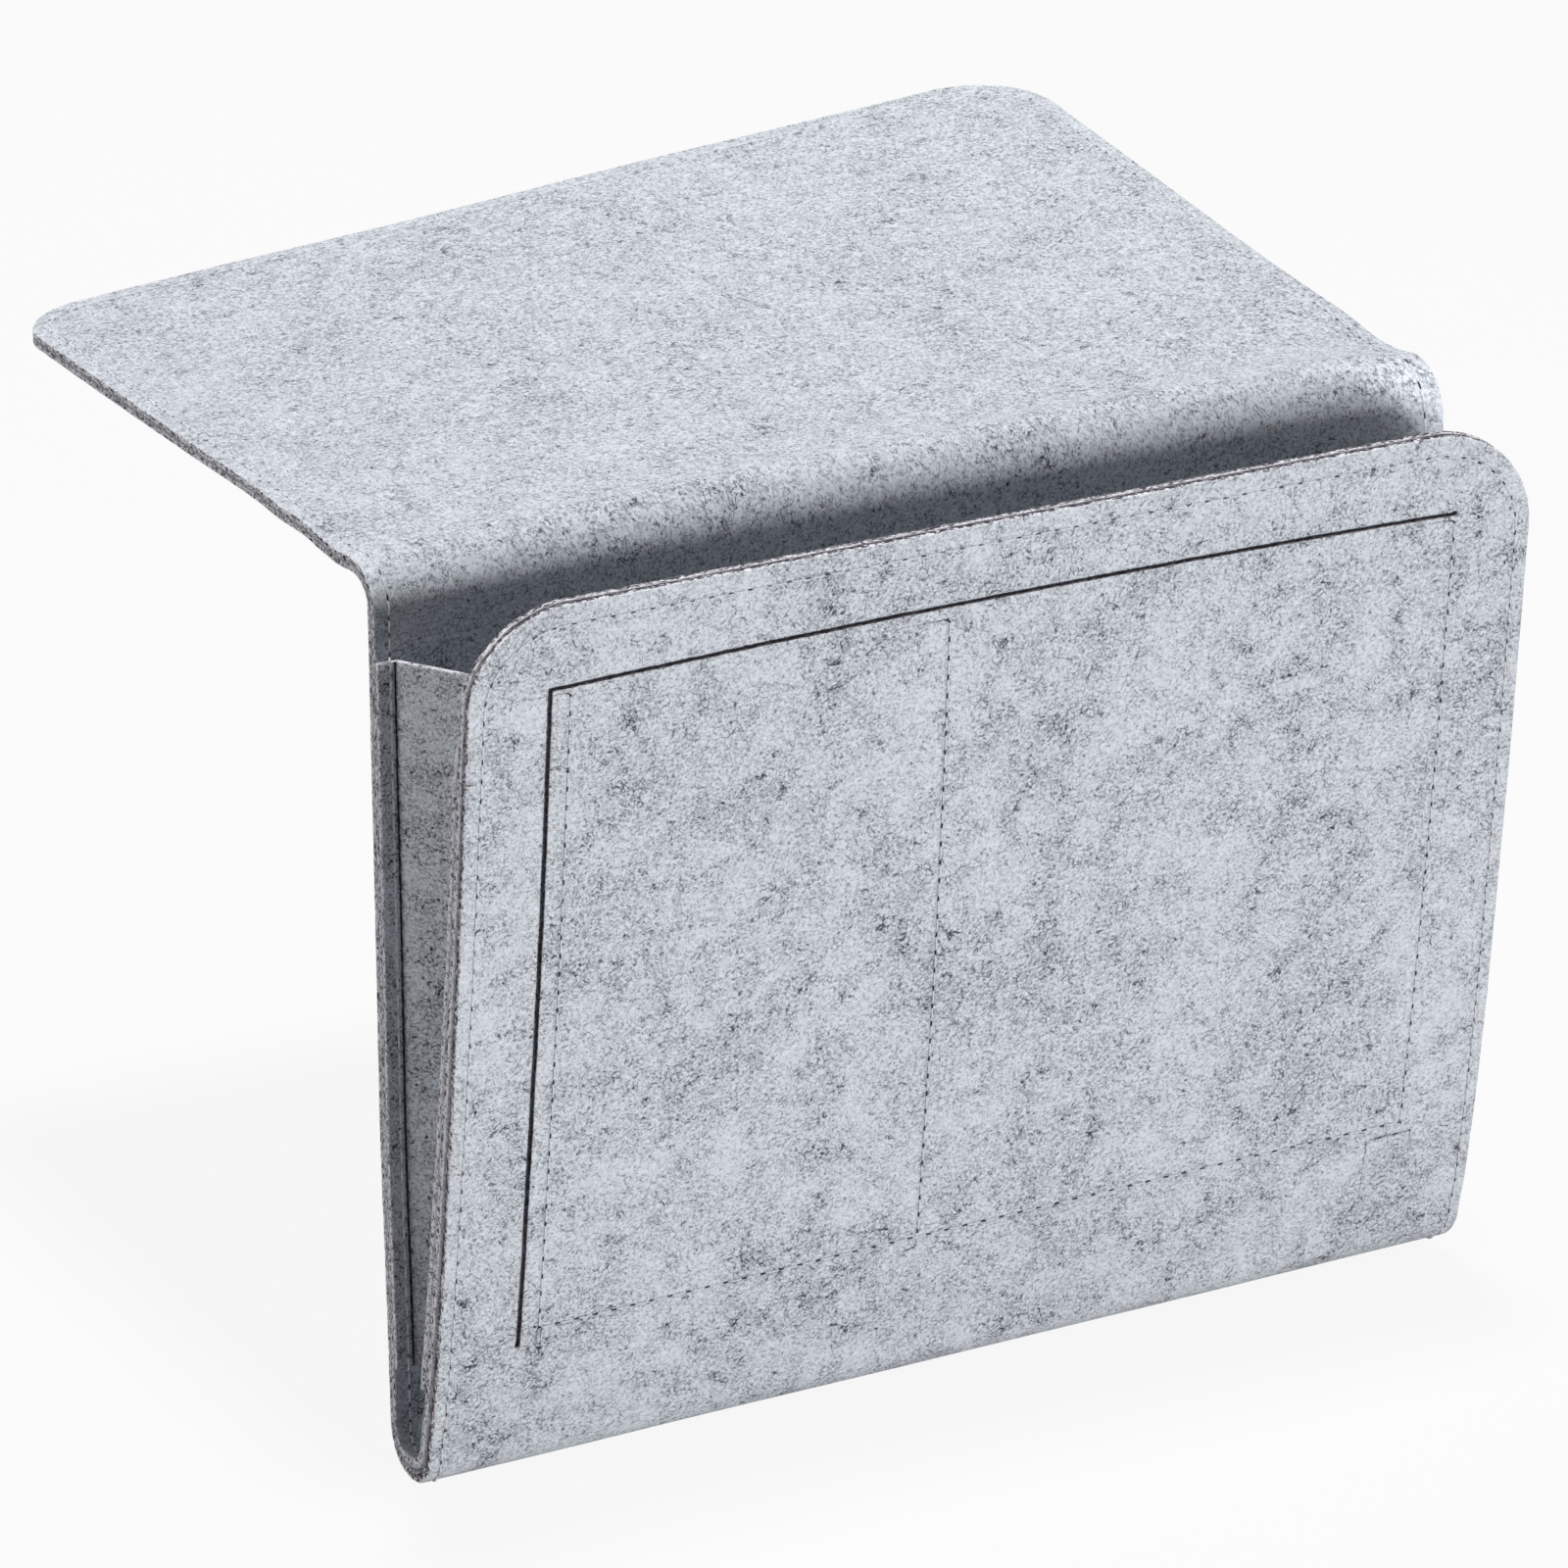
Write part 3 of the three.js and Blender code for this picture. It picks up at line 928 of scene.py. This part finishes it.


# Marks that the needle and the thread leave in the felt; the holes, the groove and a line along
# each seam are darkened with painted shade
needle = {
    "holeLength": (0.8 * mm, 0.6 * mm),  # the least, and how much it grows with the pull
    "holeWidth": (0.25 * mm, 0.12 * mm),
    "holeRim": (0.25, 1.0),  # where it is dark, and where it ends
    "holeDepth": (0.6, 0.4),  # of all holes, and what open ones have more
    "openScale": 75,
    "openRange": (0.35, 0.6),
    "groove": 1.5 * mm,  # half its width
    "line": (0.12 * mm, 0.5 * mm),
    "margin": 1.2 * mm,
    "marginPull": (0.45, 0.6),  # only seams that pull less than this have one
    # the colour of the painted shade in the holes, in the groove and along the seam
    "dark": colour(38, 36, 40),
    "holeShade": 0.85,
    "lineShade": (0.4, 1.2),  # even, and with the grain
    "grooveShade": 0.12,
}
# how far the grain stands out and the others lie deeper, and how strong the whole relief is
relief = {"grain": 0.5, "fibres": 0.4, "seam": 2.0, "depth": 0.25 * mm, "strength": 0.6}


def needleMarksAndPaintedShade(finish, flat):
    # long holes where the thread goes in and the groove that it pulls in the felt, both darkened
    # with painted shade, a line of painted shade along the seam, and the margin outside the border
    # seam, where the felt is smoothed
    place = finish.attribute("seamPlace")
    along, across, pull = (finish.axis(place, axis) for axis in "XYZ")
    toHole = (0.5 - abs(along.fraction() - 0.5)) * sewing["pitch"]
    sizes = needle["holeLength"], needle["holeWidth"]
    length, width = (least + growth * pull for least, growth in sizes)
    away = (toHole / length) ** 2 + (across / width) ** 2
    always, opened = needle["holeDepth"]
    isOpen = finish.noise(flat, needle["openScale"], 1.0).smooth(*needle["openRange"])
    hole = (1 - away.smooth(*needle["holeRim"])) * (always + opened * isOpen)
    groove = (1 - abs(across).smooth(0.0, needle["groove"])) * pull
    line = (1 - abs(across).smooth(*needle["line"])) * pull
    margin = across.smooth(0.0, needle["margin"]) * (1 - pull.smooth(*needle["marginPull"]))
    return hole, groove, line, margin


def feltFinish(name, pale, fibreTone):
    finish = Finish(bpy.data.materials.new(name))
    place = finish.attribute("flatPlace")
    fibres, grain = feltFibres(finish, place)
    hole, groove, line, margin = needleMarksAndPaintedShade(finish, place)
    tone = finish.mixed(fibres * (1 - margin * melange["marginCalm"]), pale, fibreTone)
    even, grainy = needle["lineShade"]
    # painted shade: the holes, the line along the seam and the groove are darkened towards the
    # needle's dark colour
    shade = hole * needle["holeShade"] + line * (even + grain * grainy)
    shade = shade + groove * needle["grooveShade"]
    tone = finish.mixed(shade.clamped(), tone, needle["dark"])
    height = grain * relief["grain"] - fibres * relief["fibres"]
    height = height - groove * relief["seam"] - hole * relief["seam"]
    return finish.surface(
        Base_Color=tone, Roughness=0.95, Sheen_Weight=melange["sheen"], Sheen_Roughness=0.5,
        Specular_IOR_Level=0.2, Normal=finish.bump(height, relief["depth"], relief["strength"]))


# Cut edges: fibre ends, whitish and brownish, browner near the rim and across each layer low on the
# front; there the outer layer is paler at its face, a painted highlight, and browner towards the
# gap between the layers, painted shade, while the inner layer is pale beside the gap and browner
# towards its inner face
cutEdge = {"pale": colour(243, 241, 247), "brown": colour(62, 53, 62), "brownShare": -3.75}
# the slit's walls take a darker copy of the cut edge: painted shade inside the narrow slit
slitEdgePaintedShade = {"pale": colour(150, 142, 148), "brown": colour(48, 41, 46), "brownShare": -3.4}
cutFibres = {
    "layered": (1, 1, 2.2),  # finer through the felt than along it
    "speckle": (620, 2.0, 0.7, 0.8),
    "band": (170, 2.0),
    "speckleShare": 7.0,
    "bandShare": 1.2,
    # the outer layer browns towards the gap between the layers as painted shade
    "outerLayer": (0.1 * mm, 1.6 * mm, 1.1),  # from a depth to a depth, and how much browner
    "betweenLayers": (1.95 * mm, 2.05 * mm, -1.35),
    "innerLayer": (2.4 * mm, 3.2 * mm, 0.6),
    "faces": -0.25,
    "rim": (rim - 9 * mm, rim - 2 * mm, 0.45),  # the same along the pattern
}


def cutFinish(name, tones):
    finish = Finish(bpy.data.materials.new(name))
    place = finish.attribute("flatPlace")
    along, depth = (finish.axis(place, axis) for axis in "YZ")
    layered = finish.stretched(place, cutFibres["layered"])
    speckle = finish.noise(layered, *cutFibres["speckle"])
    band = finish.noise(layered, *cutFibres["band"])
    # painted shade and highlight across the layers, low on the front: paler at the outer face,
    # browner towards the gap
    inwards = cutFibres["faces"]
    for layer in ("outerLayer", "betweenLayers", "innerLayer"):
        low, high, share = cutFibres[layer]
        inwards = inwards + depth.smooth(low, high) * share
    inwards = inwards * along.smooth(foldStart, frontStart)
    low, high, share = cutFibres["rim"]
    amount = speckle * cutFibres["speckleShare"] + band * cutFibres["bandShare"] + inwards
    amount = (amount + along.smooth(low, high) * share + tones["brownShare"]).clamped()
    tone = finish.mixed(amount, tones["pale"], tones["brown"])
    return finish.surface(
        Base_Color=tone, Roughness=0.97, Sheen_Weight=0.1, Sheen_Roughness=0.5,
        Specular_IOR_Level=0.15, Normal=finish.bump(speckle, 0.3 * mm, 0.8))


sewingThread = {
    "light": colour(243, 245, 249),
    "dark": colour(204, 207, 214),
    "plies": 2,
    "lay": 1.3,  # how fast the plies wind along the thread
    "plyShare": 0.25,
    "wear": (0.7, 2.0),
    "wearRange": (0.2, 1.0),
}


def threadFinish():
    finish = Finish(bpy.data.materials.new("sewing_thread"))
    place = finish.attribute("threadPlace")
    around, along = (finish.axis(place, axis) for axis in "XY")
    # the thread is darker along the grooves between its plies, painted shade, and in random patches
    # of wear
    ply = (around * sewingThread["plies"] + along * sewingThread["lay"]).sine()
    wear = finish.noise(place, *sewingThread["wear"])
    plyShadeAndWear = (ply * sewingThread["plyShare"] + wear).smooth(*sewingThread["wearRange"])
    return finish.surface(
        Base_Color=finish.mixed(plyShadeAndWear, sewingThread["light"], sewingThread["dark"]), Roughness=0.62,
        Sheen_Weight=0.1, Specular_IOR_Level=0.35, Normal=finish.bump(ply, 0.05 * mm, 0.5))


bodyFelt = feltFinish("felt_melange", melange["pale"], melange["fibre"])
gussetFelt = feltFinish("felt_gusset", melange["gussetPale"], melange["gussetFibre"])
cutFelt = cutFinish("felt_cut_edge", cutEdge)
slitFeltPaintedShade = cutFinish("felt_slit_edge_painted_shade", slitEdgePaintedShade)
threadMaterial = threadFinish()
for piece in feltSheets + gussets:
    piece.data.materials.append(bodyFelt if piece in feltSheets else gussetFelt)
    piece.data.materials.append(cutFelt)
outerLower.data.materials.append(slitFeltPaintedShade)
for row in stitches.values():
    row.data.materials.append(threadMaterial)
print("finishes made")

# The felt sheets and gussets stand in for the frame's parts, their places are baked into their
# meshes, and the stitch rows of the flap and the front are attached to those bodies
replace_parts(outerUpper, "flap_lower_layer", "bend_lower_layer", "back_rear_layer")
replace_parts(innerUpper, "flap_upper_layer", "bend_upper_layer", "back_inner_layer")
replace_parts(outerLower, "fold_outer_layer", "front_outer_layer")
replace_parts(innerLower, "fold_inner_layer", "front_backing_layer")
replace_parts(gussetLeft, "gusset_left")
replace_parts(gussetRight, "gusset_right")


def rowsOn(*parts):
    return [row for name, row in stitches.items() if name.startswith(parts)]


for piece in [outerUpper, innerUpper] + rowsOn("bend", "back"):
    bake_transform(piece)
for piece in [outerLower, innerLower, gussetLeft] + rowsOn("fold"):
    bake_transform(piece)
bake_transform(gussetRight)
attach(stitches["flap_stitches"], "flap")
for row in rowsOn("front", "pocket"):
    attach(row, "front")

# Flat sizes of the felt, before it was folded and sewn
for piece in (outerLower, innerLower):
    rim - backMiddle
for piece in gussets:
    gusset["top"] - gusset["foot"]

# Stage: a pale floor under the bottom fold, soft lamps and the photograph's camera
stage = {
    "floorSize": 14,
    "floorGap": 0.3 * mm,  # under the bottom fold
    "floor": colour(214, 214, 214),
    "floorBounce": colour(124, 124, 124),  # what the floor throws back on the felt
    "floorWhite": 0.91,  # how much of the floor the camera sees as plain white
    "world": 0.01,
    "overhead": {"place": (0.1, 0.0, 2.4), "aim": (0, 0, -0.1), "size": 0.4, "power": 54},
    "front": {"place": (0.3, -3.0, 0.0), "aim": (0, 0, -0.1), "size": 0.5, "power": 63},
    "left": {"place": (-3.0, 0.2, 0.05), "aim": (0, 0, -0.1), "size": 0.8, "power": 35},
    "back": {"place": (0.4, 3.0, 0.3), "aim": (0, 0, -0.1), "size": 1.2, "power": 20},
}


def seenDirectly(finish):
    # 1 where the camera, a mirror or glass looks at the surface, so that a white stage stays white
    seen = [finish.node("ShaderNodeLightPath", {}, {}, ray)
            for ray in ("Is Camera Ray", "Is Glossy Ray", "Is Transmission Ray")]
    return (seen[0] + seen[1] + seen[2]).clamped()


def floorFinish():
    finish = Finish(bpy.data.materials.new("pale_floor"))
    seen = seenDirectly(finish)
    tone = finish.mixed(seen, stage["floorBounce"], stage["floor"])
    pale = finish.node(
        "ShaderNodeBsdfPrincipled", {},
        {"Base Color": tone, "Roughness": 0.9, "Specular IOR Level": 0.1})
    white = finish.node("ShaderNodeEmission", {}, {"Color": (1, 1, 1, 1), "Strength": 1.0})
    share = seen * stage["floorWhite"]
    mixed = finish.node("ShaderNodeMixShader", {}, {0: share, 1: pale, 2: white})
    finish.node("ShaderNodeOutputMaterial", {}, {"Surface": mixed})
    return finish.owner


bm = bmesh.new()
bmesh.ops.create_grid(bm, x_segments=1, y_segments=1, size=stage["floorSize"] / 2)
bmesh.ops.translate(bm, verts=bm.verts[:], vec=(0, 0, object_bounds()[0].z - stage["floorGap"]))
floor = addPiece("pale_floor", bm)
floor.data.materials.append(floorFinish())


def softLamp(name, place, aim, size, power):
    lamp = bpy.data.lights.new(name, "AREA")
    lamp.shape, lamp.size, lamp.energy = "SQUARE", size, power
    lampObject = bpy.data.objects.new(name, lamp)
    scene.collection.objects.link(lampObject)
    lampObject.location = place
    lampObject.rotation_euler = (Vector(aim) - Vector(place)).to_track_quat("-Z", "Y").to_euler()


for side in ("overhead", "front", "left", "back"):
    softLamp(side + "_softbox", **stage[side])
sky = Finish(bpy.data.worlds.new("studio"))
strength = seenDirectly(sky) * (1 - stage["world"]) + stage["world"]
white = sky.node("ShaderNodeBackground", {}, {"Color": (1, 1, 1, 1), "Strength": strength})
sky.node("ShaderNodeOutputWorld", {}, {"Surface": white})
scene.world = sky.owner

shot = {
    "azimuth": -26.7246,
    "elevation": 22.8596,
    "roll": -0.355,
    "aim": Vector((0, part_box("back_rear_layer")[1].y, -0.1)),
    "right": 33.0295 * mm,  # how far the aim stands right of and above the picture's middle
    "above": -8.4892 * mm,
    "distance": 2.740588,
    "lens": 229.146,
    "sensor": 36,
}
turn, climb, roll = (math.radians(shot[k]) for k in ("azimuth", "elevation", "roll"))
level = Vector((math.cos(turn), math.sin(turn), 0))
outwards = Vector((math.sin(turn), -math.cos(turn), 0))
toCamera = outwards * math.cos(climb) + Vector((0, 0, math.sin(climb)))
upright = toCamera.cross(level)
right = level * math.cos(roll) + upright * math.sin(roll)
up = upright * math.cos(roll) - level * math.sin(roll)
cameraData = bpy.data.cameras.new("photo_view")
cameraData.lens, cameraData.sensor_width = shot["lens"], shot["sensor"]
camera = bpy.data.objects.new("photo_view", cameraData)
scene.collection.objects.link(camera)
place = shot["aim"] - right * shot["right"] - up * shot["above"] + toCamera * shot["distance"]
axes = Matrix((right, up, toCamera)).transposed().to_4x4()
camera.matrix_world = Matrix.Translation(place) @ axes
scene.camera = camera
print("stage set")
